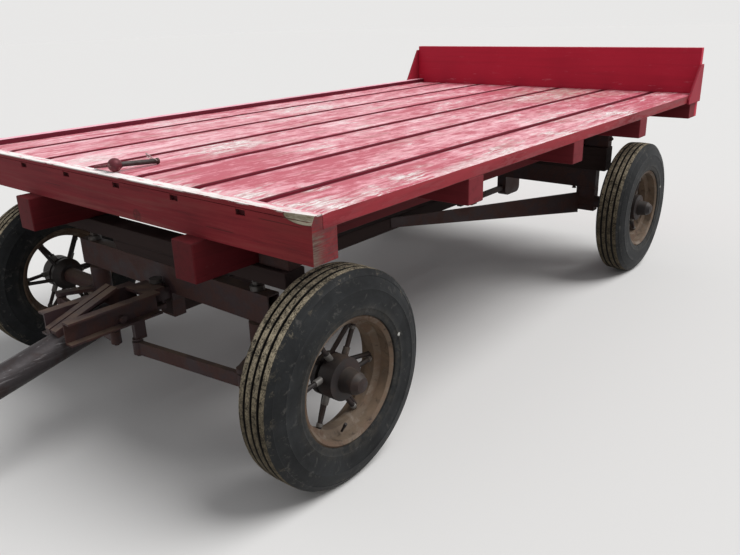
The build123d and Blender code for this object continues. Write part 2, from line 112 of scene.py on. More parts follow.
class Shade:
    """A procedural material on one Principled shader, in the object's own metres."""

    def __init__(self, name, rough, specular, metallic=0.0):
        self.material = bpy.data.materials.new(name)
        self.material.use_nodes = True
        self.tree = self.material.node_tree
        self.bsdf = self.tree.nodes["Principled BSDF"]
        self.bsdf.inputs["Roughness"].default_value = rough
        self.bsdf.inputs["Metallic"].default_value = metallic
        self.bsdf.inputs["Specular IOR Level"].default_value = specular
        self.object = self.add("ShaderNodeTexCoord").outputs["Object"]

    def add(self, kind, **settings):
        node = self.tree.nodes.new(kind)
        for key, value in settings.items():
            setattr(node, key, value)
        return node

    def put(self, socket, value):
        """Link a socket, or set the socket's own value."""
        if isinstance(value, bpy.types.NodeSocket):
            self.tree.links.new(value, socket)
        elif isinstance(value, tuple) and len(value) == 3 and socket.type == "RGBA":
            socket.default_value = (*value, 1)
        else:
            socket.default_value = value

    def scaled(self, scale, source=None):
        node = self.add("ShaderNodeVectorMath", operation="MULTIPLY")
        self.put(node.inputs[0], source or self.object)
        node.inputs[1].default_value = scale
        return node.outputs[0]

    def moved(self, by):
        """The object's coordinates plus a vector, so that alike pieces differ in their noise."""
        node = self.add("ShaderNodeVectorMath", operation="ADD")
        self.put(node.inputs[0], self.object)
        self.put(node.inputs[1], by)
        return node.outputs[0]

    def noise(self, vector, scale, detail, rough, distortion=0.0):
        node = self.add("ShaderNodeTexNoise")
        self.put(node.inputs["Vector"], vector)
        node.inputs["Scale"].default_value = scale
        node.inputs["Detail"].default_value = detail
        node.inputs["Roughness"].default_value = rough
        node.inputs["Distortion"].default_value = distortion
        return node.outputs["Fac"]

    def fibre(self, scale, detail, rough, distortion=0.0, source=None):
        """Noise with a scale of its own along each axis."""
        return self.noise(self.scaled(scale, source), 1, detail, rough, distortion)

    def part(self, name, source=None):
        node = self.add("ShaderNodeSeparateXYZ")
        self.put(node.inputs[0], source or self.object)
        return node.outputs[name]

    def map(self, value, a, b, c=0.0, d=1.0):
        """Value taken from the range a..b to c..d, and held there beyond it."""
        node = self.add("ShaderNodeMapRange")
        self.put(node.inputs[0], value)
        for k, number in enumerate((a, b, c, d)):
            node.inputs[k + 1].default_value = number
        return node.outputs[0]

    def math(self, operation, a, b=0.0):
        node = self.add("ShaderNodeMath", operation=operation)
        self.put(node.inputs[0], a)
        self.put(node.inputs[1], b)
        return node.outputs[0]

    def plus(self, a, b):
        return self.math("ADD", a, b)

    def minus(self, a, b):
        return self.math("SUBTRACT", a, b)

    def times(self, a, b):
        return self.math("MULTIPLY", a, b)

    def size(self, a):
        return self.math("ABSOLUTE", a)

    def swing(self, source, share):
        """How far a noise is from its middle value, times a share."""
        return self.times(self.minus(source, 0.5), share)

    def mix(self, factor, a, b):
        node = self.add("ShaderNodeMix", data_type="RGBA")
        self.put(node.inputs[0], factor)
        self.put(node.inputs[6], a)
        self.put(node.inputs[7], b)
        return node.outputs[2]

    def all_of(self, *values):
        """Product of several masks."""
        total = values[0]
        for value in values[1:]:
            total = self.times(total, value)
        return total

    def any_of(self, *values):
        """Highest of several masks."""
        total = values[0]
        for value in values[1:]:
            total = self.math("MAXIMUM", total, value)
        return total

    def normal(self, name):
        """Size of one component of the face's own direction."""
        facing = self.add("ShaderNodeNewGeometry").outputs["True Normal"]
        return self.size(self.part(name, facing))

    def facing(self, name):
        """One component of the smooth surface's direction, with its sign."""
        return self.part(name, self.add("ShaderNodeNewGeometry").outputs["Normal"])

    def near(self, point, inner, outer):
        """1 within the inner distance from a point, 0 beyond the outer one."""
        node = self.add("ShaderNodeVectorMath", operation="DISTANCE")
        self.put(node.inputs[0], self.object)
        node.inputs[1].default_value = point
        return self.map(node.outputs["Value"], inner, outer, 1.0, 0.0)

    def bump(self, height, distance, strength):
        node = self.add("ShaderNodeBump")
        node.inputs["Strength"].default_value = strength
        node.inputs["Distance"].default_value = distance
        self.put(node.inputs["Height"], height)
        return node.outputs[0]

    def finish(self, color, rough=None, normal=None):
        self.put(self.bsdf.inputs["Base Color"], color)
        if rough is not None:
            self.put(self.bsdf.inputs["Roughness"], rough)
        if normal is not None:
            self.put(self.bsdf.inputs["Normal"], normal)
        return self.material


AXIS = {"x": 0, "y": 1, "z": 2}


def grained(along, long_scale, cross_scale):
    """Noise scale of wood whose fibres run along one axis."""
    scale = [cross_scale] * 3
    scale[AXIS[along]] = long_scale
    return scale


def darker(color, share):
    return tuple(c * share for c in color)


# the deck's reds, its wear and its dirt, and the painted shade of its gaps
DECK_DEEP = (0.50, 0.085, 0.125)
DECK_PALE = (0.74, 0.290, 0.345)
DECK_MILKY = (0.93, 0.58, 0.62)
GAP_SHADE_RED = (0.17, 0.006, 0.020)
SIDE_RED = (0.27, 0.024, 0.034)
UNDERSIDE_RED = (0.10, 0.03, 0.03)
DENT_RED = (0.20, 0.05, 0.06)
GRIME = (0.42, 0.30, 0.25)
SOIL_DARK = (0.36, 0.26, 0.21)
SOIL_PALE = (0.62, 0.54, 0.47)
WORN_PINK = (0.62, 0.42, 0.42)
WORN_WHITE = (0.92, 0.87, 0.85)
# shift of the noise from one plank to the next
PLANK_SHIFT = 3.7
# share of each noise in the paint's level between deep red and milky pink
CLOUD_SHARE, STREAK_SHARE, MOTTLE_SHARE, GRAIN_SHARE = 1.7, 1.4, 2.7, 1.3
# deeper reds; columns: distance behind the face, place across, inner and outer reach, share
DEEP_SPOTS = ((0.40, 0.62, 0.2, 0.8, 0.23), (2.55, 0.80, 0.2, 0.9, 0.13))
# dirt by the headboard; columns: distance behind the face, place across, inner and outer reach
DIRTY_SPOTS = ((2.98, 0.27, 0.05, 0.42), (2.65, 0.35, 0.0, 0.30))
# worn spots; columns: distance behind the face, place across, reach, threshold
WORN_SPOTS = (
    (0.643, -0.064, 0.20, 0.50), (0.512, -0.018, 0.14, 0.50), (0.081, 0.683, 0.11, 0.51),
    (0.060, 0.905, 0.13, 0.50), (0.125, 0.944, 0.15, 0.50), (1.655, -0.653, 0.34, 0.52),
    (0.536, 0.922, 0.14, 0.53), (2.221, 0.940, 0.20, 0.52), (1.563, 0.960, 0.20, 0.54),
    (0.326, 0.955, 0.12, 0.55), (0.260, 0.760, 0.10, 0.58), (1.05, 0.97, 0.18, 0.54),
)
# painted shade along the gaps: its full and its last distance from the middle of a gap
SEAM_FULL, SEAM_LAST = 0.0196, 0.0228


def deck_paint(name):
    """Faded red on seven planks: grain, scrapes along it, bare strips at the front and the left,
    painted shade in the gaps.
    """
    s = Shade(name, rough=0.6, specular=0.3)
    x, y = s.part("X"), s.part("Y")
    plank = s.math("FLOOR", s.math("DIVIDE", s.plus(y, OUTER_SEAM_Y), PLANK_PITCH))
    shift = s.add("ShaderNodeCombineXYZ")
    s.put(shift.inputs[0], s.times(plank, PLANK_SHIFT))
    place = s.moved(shift.outputs[0])
    hash_of = s.add("ShaderNodeTexWhiteNoise", noise_dimensions="1D")
    s.put(hash_of.inputs["W"], plank)
    tone = hash_of.outputs["Value"]
    grain = s.fibre((3.0, 70, 70), 6, 0.65, 0.15, place)
    streak = s.fibre((1.7, 15, 15), 6, 0.65, 0.3, place)
    cloud = s.fibre((2.1, 5.0, 5.0), 6, 0.65, 0.5, place)
    mottle = s.fibre((11, 27, 27), 6, 0.72, 0.4, place)
    scrape = s.fibre((9, 46, 46), 7, 0.72, 0.3, place)
    speck = s.fibre((30, 85, 85), 4, 0.65, 0.0, place)

    # paint between deep red and milky pink, paler towards the front
    level = s.swing(cloud, CLOUD_SHARE)
    for source, share in ((streak, STREAK_SHARE), (mottle, MOTTLE_SHARE), (grain, GRAIN_SHARE)):
        level = s.plus(level, s.swing(source, share))
    level = s.plus(level, s.map(x, behind(3.3), behind(1.6), 0.33, 0.50))
    for back, left, inner, outer, share in DEEP_SPOTS:
        level = s.minus(level, s.times(s.near(on_deck(back, left), inner, outer), share))
    level = s.minus(level, s.times(s.map(tone, 0.3, 1.0), 0.10))
    color = s.mix(s.map(level, 0.08, 0.50), DECK_DEEP, DECK_PALE)
    color = s.mix(s.map(level, 0.50, 0.98), color, DECK_MILKY)

    # grime all over, thicker by the headboard
    grime = s.fibre((2.6, 7, 7), 5, 0.65, 0.0, place)
    grime = s.all_of(s.map(grime, 0.54, 0.66), s.map(scrape, 0.38, 0.58))
    color = s.mix(s.times(grime, 0.5), color, GRIME)
    dirty = [s.near(on_deck(back, left), inner, outer) for back, left, inner, outer in DIRTY_SPOTS]
    dirty = s.all_of(s.any_of(*dirty), s.map(mottle, 0.40, 0.56), 0.8)
    color = s.mix(dirty, color, s.mix(s.map(scrape, 0.4, 0.6), SOIL_DARK, SOIL_PALE))

    # bare wood: scrapes, the strip along the left edge, the front end and the worn spots
    worn = s.map(s.plus(scrape, s.swing(cloud, 0.9)), 0.60, 0.66)
    strip = s.plus(s.times(streak, 0.9), s.times(scrape, 0.9))
    strip = s.all_of(s.map(y, 0.905, 0.96), s.map(strip, 0.86, 0.95))
    strip = s.all_of(strip, s.map(x, behind(3.1), behind(2.3), 0.2, 0.9))
    head_end = s.all_of(s.map(x, behind(0.10), behind(0.046)), s.map(scrape, 0.48, 0.54),
                        s.map(y, -0.2, 0.4))
    bare = s.any_of(s.times(worn, 0.8), s.times(strip, 0.62), head_end)
    for back, left, reach, threshold in WORN_SPOTS:
        spot = s.near(on_deck(back, left), reach * 0.3, reach)
        edge = s.map(s.plus(scrape, s.times(spot, 0.06)), threshold, threshold + 0.06)
        bare = s.any_of(bare, s.all_of(spot, edge))
    color = s.mix(bare, color, s.mix(s.map(speck, 0.40, 0.60), WORN_PINK, WORN_WHITE))
    dent = s.all_of(s.map(speck, 0.70, 0.74), s.map(cloud, 0.45, 0.6))
    color = s.mix(dent, color, DENT_RED)

    # painted shade along the gaps and on the planks' sides inside them; red outer sides, dark red
    # undersides
    seam = s.math("DIVIDE", s.plus(y, OUTER_SEAM_Y), PLANK_PITCH)
    seam = s.times(s.size(s.minus(seam, s.math("ROUND", seam))), PLANK_PITCH)
    rim = s.all_of(s.map(seam, SEAM_LAST, SEAM_FULL), s.map(s.size(y), 0.80, 0.79))
    # painted shade: a dark band along each gap
    color = s.mix(s.times(rim, 0.96), color, darker(GAP_SHADE_RED, 0.55))
    # painted shade on the planks' inner sides and ends; the outermost sides keep a red
    upright = s.map(s.normal("Z"), 0.55, 0.85, 1.0, 0.0)
    outer = s.map(s.size(y), 0.994, 0.998)
    side_red = s.mix(s.map(streak, 0.35, 0.65), darker(SIDE_RED, 0.7), darker(SIDE_RED, 1.2))
    color = s.mix(upright, color, s.mix(outer, GAP_SHADE_RED, side_red))
    under = s.map(s.part("Z"), PLANK_UNDERSIDE - 0.0005, PLANK_UNDERSIDE + 0.0005, 1.0, 0.0)
    color = s.mix(under, color, UNDERSIDE_RED)

    height = s.plus(s.times(grain, 0.7), s.times(scrape, 0.3))
    height = s.minus(height, s.times(bare, 0.35))
    rough = s.map(s.any_of(bare, rim), 0, 1, 0.5, 0.9)
    return s.finish(color, rough, s.bump(height, 0.0016, 0.6))


def painted_wood(name, along, dark, light, bare, fade, wear, crack, rough, extra=None,
                 lines=0.45):
    """Paint over sawn timber: fading, grain streaks, rubbed patches and fine cracks."""
    s = Shade(name, rough=rough, specular=0.22)
    grain = s.fibre(grained(along, 1.4, 42), 6, 0.6, 0.2)
    streak = s.fibre(grained(along, 0.7, 9), 4, 0.6)
    cloud = s.noise(s.scaled((1.0, 2.2, 2.2)), 1.6, 4, 0.55)
    fleck = s.fibre(grained(along, 14, 60), 5, 0.7)
    color = s.mix(s.map(cloud, 0.5 - 0.35 * fade, 0.5 + 0.35 * fade), dark, light)
    color = s.mix(s.map(streak, 0.35, 0.7, 0.0, 0.55), color, s.mix(0.5, dark, light))
    color = s.mix(s.map(grain, 0.3, 0.52, lines, 0.0), color, darker(dark, 0.55))
    rub = s.plus(s.times(streak, 0.5), s.times(fleck, 0.5))
    rub = s.plus(rub, s.swing(cloud, 0.35))
    mask = s.map(rub, 0.66 - 0.2 * wear, 0.74 - 0.2 * wear)
    color = s.mix(mask, color, bare)
    line = s.map(s.fibre(grained(along, 0.9, 70), 3, 0.5), 0.28, 0.33, 1.0, 0.0)
    line = s.times(line, crack)
    color = s.mix(line, color, darker(dark, 0.35))
    if extra:
        color = extra(s, color, fleck, streak)
    height = s.minus(s.times(grain, 0.6), s.times(mask, 0.5))
    height = s.minus(height, line)
    normal = s.bump(height, 0.0012, 0.5)
    return s.finish(color, s.map(mask, 0, 1, rough, min(1.0, rough + 0.2)), normal)


# the header's wear, and the painted shade in its pockets
HEADER_BROWN = (0.27, 0.120, 0.100)
HEADER_DEEP = (0.085, 0.008, 0.012)
HEADER_RIGHT_RED = (0.26, 0.022, 0.036)
HEADER_LEFT_RED = (0.36, 0.020, 0.030)
STAIN_BROWN = (0.11, 0.036, 0.030)
KNOT_DARK = (0.055, 0.012, 0.012)
SPLIT_DARK = (0.05, 0.010, 0.010)
# painted shade in the pockets
POCKET_SHADE = (0.045, 0.006, 0.009)
END_DIRTY = (0.108, 0.045, 0.046)
RAW_DARK = (0.055, 0.032, 0.028)
RAW_PALE = (0.205, 0.150, 0.120)
LIP_PINK = (0.72, 0.60, 0.58)
LIP_WHITE = (0.93, 0.90, 0.88)
CHIP_BROWN = (0.10, 0.055, 0.040)
CHIP_DARK = (0.24, 0.20, 0.13)
CHIP_PALE = (0.60, 0.55, 0.43)
# knots on the front face; columns: place across, height, reach, depth of colour
KNOTS = ((0.191, 0.846, 0.025, 0.65), (-0.805, 0.893, 0.022, 0.4))
# splits along the grain; columns: place across, height, half length
SPLITS = ((0.88, 0.9300, 0.09), (0.62, 0.868, 0.07), (-0.35, 0.886, 0.06))
# scoop of the broken corner: centre and half axes, across and in height
SCOOP_Y, SCOOP_Z, SCOOP_HALF_Y, SCOOP_HALF_Z = 0.966, 0.9590, 0.068, 0.0215
# height above which the header's faces belong to its lip
LIP_Z = 0.955


def header_marks(s, color, fleck, streak):
    """White worn lip, dark stain under the chip, pale chip, knots, splits and bare end grain."""
    x, y, z = s.part("X"), s.part("Y"), s.part("Z")
    lying = s.map(s.normal("Z"), 0.75, 0.9)
    ragged = s.plus(s.times(fleck, 0.6), s.times(streak, 0.5))

    # brown wear along the grain, redder at both ends
    wear = s.fibre((40, 1.6, 34), 6, 0.68, 0.2)
    low = s.map(z, 0.93, 0.85, 0.45, 1.0)
    color = s.mix(s.all_of(s.map(wear, 0.48, 0.62), low, 0.34), color, HEADER_BROWN)
    color = s.mix(s.all_of(s.map(wear, 0.44, 0.34), 0.5), color, HEADER_DEEP)
    color = s.mix(s.map(y, 0.2, -0.9, 0.0, 0.35), color, HEADER_RIGHT_RED)
    left_end = s.all_of(s.map(y, 0.35, 0.9, 0.0, 0.55), s.map(wear, 0.42, 0.55))
    color = s.mix(left_end, color, HEADER_LEFT_RED)
    stain = s.all_of(s.near((FRONT_FACE_X, 0.93, 0.925), 0.05, 0.19), s.map(streak, 0.3, 0.6))
    color = s.mix(s.times(stain, 0.5), color, STAIN_BROWN)
    for knot_y, knot_z, reach, depth in KNOTS:
        heart = s.near((FRONT_FACE_X, knot_y, knot_z), reach * 0.2, reach)
        ring = s.all_of(s.map(heart, 0.0, 0.3), s.map(s.fibre((60, 90, 160), 4, 0.6), 0.40, 0.50))
        color = s.mix(s.times(ring, depth), color, KNOT_DARK)
    for split_y, split_z, reach in SPLITS:
        split = s.all_of(s.map(s.size(s.minus(y, split_y)), reach, reach * 0.8),
                         s.map(s.size(s.minus(z, split_z)), 0.0016, 0.0007))
        color = s.mix(s.times(split, 0.8), color, SPLIT_DARK)

    # painted shade on the walls of the pockets, behind the front face and under the lip
    pocket_shade = s.all_of(s.map(x, behind(0.0020), behind(0.0045)), s.map(z, 0.9480, 0.9470),
                    s.map(y, 0.97, 0.96))
    color = s.mix(s.times(pocket_shade, 0.85), color, POCKET_SHADE)

    # end grain: dirty paint above, grey-brown raw wood by the front edge below
    end = s.map(s.normal("Y"), 0.8, 0.95)
    rings = s.fibre((14, 10, 150), 6, 0.7, 0.2)
    color = s.mix(s.all_of(end, s.map(rings, 0.36, 0.60), 0.75), color, END_DIRTY)
    raw = s.plus(x, s.swing(rings, 0.09))
    raw = s.all_of(end, s.map(raw, behind(0.046), behind(0.012)), s.map(z, 0.922, 0.908))
    bleached = s.mix(s.map(rings, 0.36, 0.64), RAW_DARK, RAW_PALE)
    color = s.mix(s.times(raw, 0.85), color, bleached)

    # white lip that widens towards the near end, with red left in it
    width = s.times(s.minus(ragged, 0.55), 0.11)
    width = s.plus(s.map(y, -0.95, 0.35, 0.004, 0.036), width)
    band = s.map(s.minus(s.plus(x, width), FRONT_FACE_X), -0.002, 0.003)
    faded = s.mix(s.map(ragged, 0.42, 0.66), DECK_PALE, DECK_MILKY)
    color = s.mix(s.all_of(lying, s.map(z, LIP_Z, LIP_Z + 0.003)), color, faded)
    lip = s.all_of(lying, s.map(z, LIP_Z, LIP_Z + 0.003), band, s.map(fleck, 0.38, 0.45))
    lip = s.any_of(lip, s.all_of(s.map(z, 0.9590, 0.9622), s.map(ragged, 0.50, 0.58)))
    lip = s.all_of(lip, s.map(y, -0.90, -0.76))
    color = s.mix(lip, color, s.mix(s.map(ragged, 0.40, 0.62), LIP_PINK, LIP_WHITE))

    # broken corner: pale scooped wood with a brown edge
    slant = s.any_of(s.normal("X"), s.normal("Y"), s.normal("Z"))
    slant = s.map(slant, 0.90, 0.95, 1.0, 0.0)
    chip = s.all_of(slant, s.map(y, 0.893, 0.898), s.map(z, 0.936, 0.939))
    across = s.math("DIVIDE", s.minus(y, SCOOP_Y), SCOOP_HALF_Y)
    down = s.math("DIVIDE", s.minus(z, SCOOP_Z), SCOOP_HALF_Z)
    scoop = s.plus(s.times(across, across), s.times(down, down))
    scoop = s.plus(scoop, s.swing(fleck, 0.25))
    inside = s.all_of(s.map(s.normal("X"), 0.8, 0.95), s.map(z, 0.9625, 0.9605))
    color = s.mix(s.all_of(inside, s.map(scoop, 1.16, 1.04), 0.8), color, CHIP_BROWN)
    chip = s.any_of(chip, s.all_of(inside, s.map(scoop, 1.0, 0.9)))
    return s.mix(chip, color, s.mix(s.map(fleck, 0.36, 0.62), CHIP_DARK, CHIP_PALE))


RAIL_PINK = (0.86, 0.36, 0.46)
RAIL_PALE = (0.93, 0.60, 0.66)


def rail_marks(s, color, fleck, streak):
    """Top of the side rail, faded to pink."""
    top = s.all_of(s.map(s.normal("Z"), 0.7, 0.9), s.map(streak, 0.2, 0.5, 0.6, 1.0))
    return s.mix(top, color, s.mix(s.map(fleck, 0.4, 0.65), RAIL_PINK, RAIL_PALE))


BOARD_SCRATCH = (0.72, 0.30, 0.36)
BOARD_EDGE_RED = (0.50, 0.09, 0.12)
BOARD_EDGE_PALE = (0.62, 0.30, 0.32)


def board_marks(s, color, fleck, streak):
    """Faint scratches low on the headboard, and its rubbed top edge."""
    top = s.all_of(s.map(s.normal("Z"), 0.7, 0.9), s.map(streak, 0.25, 0.55, 0.5, 1.0))
    scratch = s.fibre((8, 9, 75), 5, 0.65, 0.4)
    scratch = s.all_of(s.map(scratch, 0.62, 0.68), s.map(s.part("Z"), 1.05, 0.99, 0.1, 0.5))
    color = s.mix(scratch, color, BOARD_SCRATCH)
    return s.mix(top, color, s.mix(s.map(fleck, 0.4, 0.65), BOARD_EDGE_RED, BOARD_EDGE_PALE))


def worn_metal(name, paint, rust, bright, rust_amount, bright_amount, rough, metallic=0.0,
               dust=None, extra=None):
    """Old paint with rust blooms, scuffs to bare metal and pitting."""
    s = Shade(name, rough=rough, metallic=metallic, specular=0.35)
    cloud = s.noise(s.object, 9, 6, 0.65, 0.4)
    fine = s.noise(s.object, 90, 4, 0.6)
    scuff = s.noise(s.object, 26, 7, 0.75, 0.3)
    rusty = s.map(cloud, 0.62 - 0.3 * rust_amount, 0.72 - 0.3 * rust_amount)
    color = s.mix(rusty, paint, rust)
    color = s.mix(s.map(fine, 0.35, 0.7, 0.0, 0.35), color, darker(paint, 0.5))
    shine = s.map(scuff, 0.70 - 0.1 * bright_amount, 0.76 - 0.1 * bright_amount,
                  0.0, bright_amount * 2)
    color = s.mix(shine, color, bright)
    if dust:
        dust_color, dust_share = dust
        lying = s.map(s.facing("Z"), 0.2, 0.95, 0.0, dust_share)
        color = s.mix(s.times(lying, s.map(cloud, 0.3, 0.6)), color, dust_color)
    if extra:
        color = extra(s, color, cloud, scuff)
    height = s.plus(s.times(fine, 0.4), s.times(cloud, 0.8))
    return s.finish(color, s.map(cloud, 0.3, 0.7, rough - 0.12, rough + 0.18),
                    s.bump(height, 0.0009, 0.45))


# front end of the loose pin's knob
PIN_KNOB_X = behind(0.049)
PIN_KNOB_LENGTH = 0.026
PIN_DEEP = (0.075, 0.012, 0.018)
PIN_RED = (0.19, 0.030, 0.042)
PIN_WORN = (0.36, 0.20, 0.18)


def pin_marks(s, color, cloud, scuff):
    """Dull red on the knob and handle of the loose pin, grey rod behind them."""
    knob_end = PIN_KNOB_X - PIN_KNOB_LENGTH
    knob = s.map(s.part("X"), knob_end, knob_end + 0.002)
    red = s.mix(s.map(cloud, 0.4, 0.6), PIN_DEEP, PIN_RED)
    return s.mix(knob, color, s.mix(s.map(scuff, 0.58, 0.66), red, PIN_WORN))


TUBE_SCRAPE_AND_HIGHLIGHT = (0.24, 0.23, 0.235)


def tube_marks(s, color, cloud, scuff):
    """Long pale scrapes along the tongue, more on its upper side, where they also stand for a
    painted highlight.
    """
    line = s.fibre((2.0, 46, 46), 6, 0.7, 0.3)
    # scrapes thicker towards the top: wear, and a painted highlight along the upper side
    worn = s.all_of(s.map(line, 0.55, 0.64), s.map(s.facing("Z"), -0.1, 0.6, 0.1, 0.8))
    return s.mix(worn, color, TUBE_SCRAPE_AND_HIGHLIGHT)


RIM_PAINTED_LIGHT = (0.29, 0.205, 0.140)
RIM_MUD = (0.21, 0.17, 0.135)
RIM_DARK = (0.030, 0.020, 0.016)


def rim_marks(s, color, cloud, scuff):
    """Dried mud and dark patches, with painted light in patches where the rim faces forward."""
    patch = s.noise(s.object, 17, 6, 0.7, 0.6)
    # painted light, in patches, where the rim faces forward
    front_light = s.all_of(s.map(s.facing("X"), 0.1, 0.8), s.map(cloud, 0.36, 0.58), 0.65)
    color = s.mix(front_light, color, RIM_PAINTED_LIGHT)
    color = s.mix(s.map(patch, 0.53, 0.63, 0.0, 0.65), color, RIM_MUD)
    return s.mix(s.map(patch, 0.42, 0.33, 0.0, 0.75), color, RIM_DARK)


# the tyres' rubber and dirt, with painted light and shade
WALL_DARK = (0.0014, 0.0017, 0.0023)
WALL_PALE = (0.0230, 0.0248, 0.0266)
WALL_SCUFF = (0.11, 0.105, 0.098)
BEAD_DUST = (0.060, 0.054, 0.045)
TREAD_LOW = (0.21, 0.175, 0.118)
TREAD_DUST_AND_TOP_LIGHT = (0.66, 0.565, 0.40)
TREAD_DARK = (0.036, 0.031, 0.024)
TREAD_MUD = (0.045, 0.040, 0.032)
EDGE_DIRT = (0.17, 0.147, 0.110)
GROOVE_SHADE_BLACK = (0.008, 0.007, 0.007)
SUN_SPOT_WHITE = (0.55, 0.55, 0.52)
# a small painted spot of sunlight on the near front tyre, from the wheel's centre
SUN_SPOT = (-0.230, 0.0775, 0.082)
# how far the noise is shifted from one tyre to the next, per metre between their centres
TYRE_SHIFT = (3.1, 1.7, 0.0)


def tyre_rubber(name):
    """Dark sidewall with scuffs, dusty ribs with painted light on top, black grooves in painted
    shade, a painted sun spot; the origin is the wheel's centre.
    """
    s = Shade(name, rough=0.72, specular=0.2)
    x, y, z = s.part("X"), s.part("Y"), s.part("Z")
    radius = s.math("SQRT", s.plus(s.times(x, x), s.times(z, z)))
    crown = s.minus(TYRE_R, s.times(s.times(y, y), CROWN))
    depth = s.minus(crown, radius)
    across = s.size(y)
    spot = s.add("ShaderNodeObjectInfo").outputs["Location"]
    place = s.moved(s.scaled(TYRE_SHIFT, spot))
    cloud = s.noise(place, 6, 6, 0.66, 0.5)
    fine = s.noise(place, 190, 5, 0.7)
    scuff = s.noise(place, 30, 6, 0.72, 0.5)
    mud = s.noise(place, 34, 6, 0.7, 0.4)

    # sidewall, dusty by the bead
    wall = s.mix(s.map(cloud, 0.3, 0.7), WALL_DARK, WALL_PALE)
    wall = s.mix(s.map(scuff, 0.57, 0.70, 0.0, 0.6), wall, WALL_SCUFF)
    bead = s.all_of(s.map(radius, 0.262, 0.235), s.map(mud, 0.40, 0.62))
    wall = s.mix(s.times(bead, 0.45), wall, BEAD_DUST)

    # ribs with crusted sand, paler where they face up: dust, and painted light from above
    dust_and_top_light = s.mix(s.map(s.facing("Z"), -0.1, 0.6), TREAD_LOW, TREAD_DUST_AND_TOP_LIGHT)
    crust = s.plus(s.times(fine, 0.55), s.times(mud, 0.45))
    dirt = s.mix(s.map(crust, 0.43, 0.57), TREAD_DARK, dust_and_top_light)
    dirt = s.mix(s.map(cloud, 0.38, 0.62, 0.45, 0.0), dirt, TREAD_MUD)
    top = s.all_of(s.map(depth, 0.0016, 0.0006), s.map(across, 0.0530, 0.0515))
    color = s.mix(top, wall, dirt)

    # dirt on the shoulders, painted shade in the grooves and a painted spot of sunlight
    edge = s.all_of(s.map(radius, 0.325, 0.345), s.map(across, 0.050, 0.053),
                    s.map(mud, 0.56, 0.63))
    edge = s.all_of(edge, s.map(cloud, 0.42, 0.55), s.map(fine, 0.42, 0.55))
    color = s.mix(s.times(edge, 0.8), color, EDGE_DIRT)
    # painted shade: the grooves black rubber, with no dust in them
    groove = s.all_of(s.map(depth, 0.0015, 0.0030), s.map(across, 0.0520, 0.0505))
    color = s.mix(groove, color, GROOVE_SHADE_BLACK)
    # painted light: a small white spot of sunlight
    sun_spot = s.all_of(s.near(SUN_SPOT, 0.0055, 0.0075), s.map(fine, 0.40, 0.50))
    color = s.mix(sun_spot, color, SUN_SPOT_WHITE)
    height = s.plus(s.times(fine, 0.5), s.times(scuff, 0.5))
    return s.finish(color, s.map(top, 0, 1, 0.60, 0.95), s.bump(height, 0.001, 0.4))


GEAR = (0.038, 0.020, 0.022)
GEAR_RUST = (0.058, 0.024, 0.020)
SCUFFED = (0.24, 0.21, 0.19)
SAND = (0.28, 0.23, 0.16)
TIMBER = {
    "dark": (0.026, 0.015, 0.015), "light": (0.044, 0.027, 0.025), "bare": (0.085, 0.065, 0.055),
    "fade": 0.9, "wear": 0.0, "crack": 0.6, "rough": 0.8,
}

